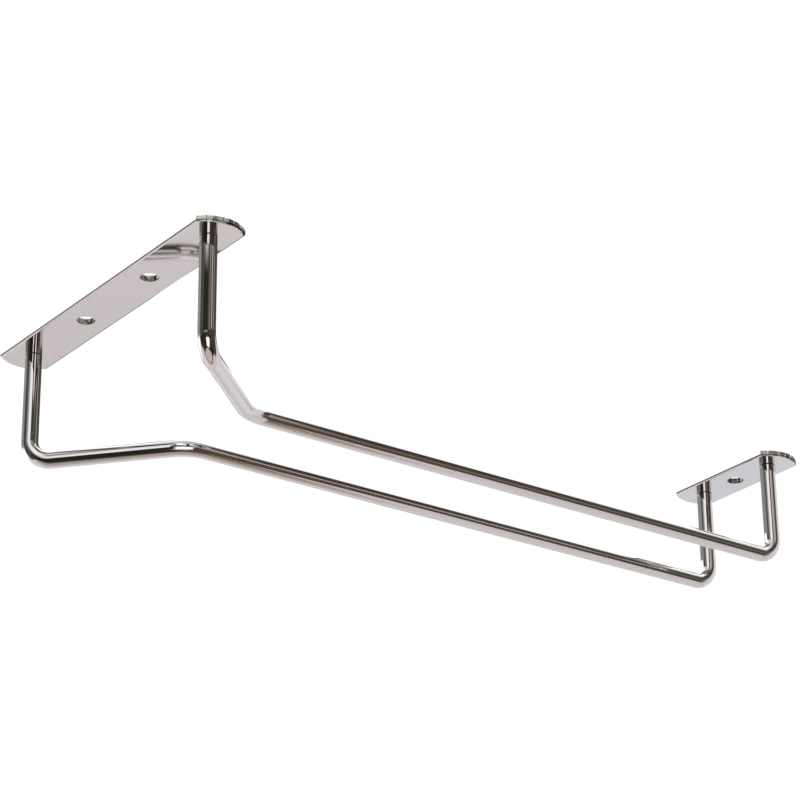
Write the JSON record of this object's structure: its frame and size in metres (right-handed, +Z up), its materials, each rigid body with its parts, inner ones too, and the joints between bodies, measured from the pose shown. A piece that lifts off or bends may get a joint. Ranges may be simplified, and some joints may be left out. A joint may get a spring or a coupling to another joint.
{
  "type": "hanging wine glass rack",
  "caption": "Chrome wire hanger for stemmed glasses: a flared mouth leads into a straight stem channel between bent rods on screw plates.",
  "frame": {"origin": "centre of the front plate's top face, where the rack meets the underside of the shelf", "axes": "+X to the right seen from the mouth, +Y from the mouth along the channel to the closed back end, +Z up to the shelf"},
  "size_m": [0.1142, 0.2541, 0.0381],
  "materials": {
    "plate_chrome": "bright chrome plating on flat steel strip, polished to a mirror",
    "rod_chrome": "bright chrome plating on round steel rod, polished"
  },
  "bodies": {
    "root": {"front_plate": "plate_chrome", "back_plate": "plate_chrome", "left_rod": "rod_chrome", "right_rod": "rod_chrome"}
  },
  "joints": []
}
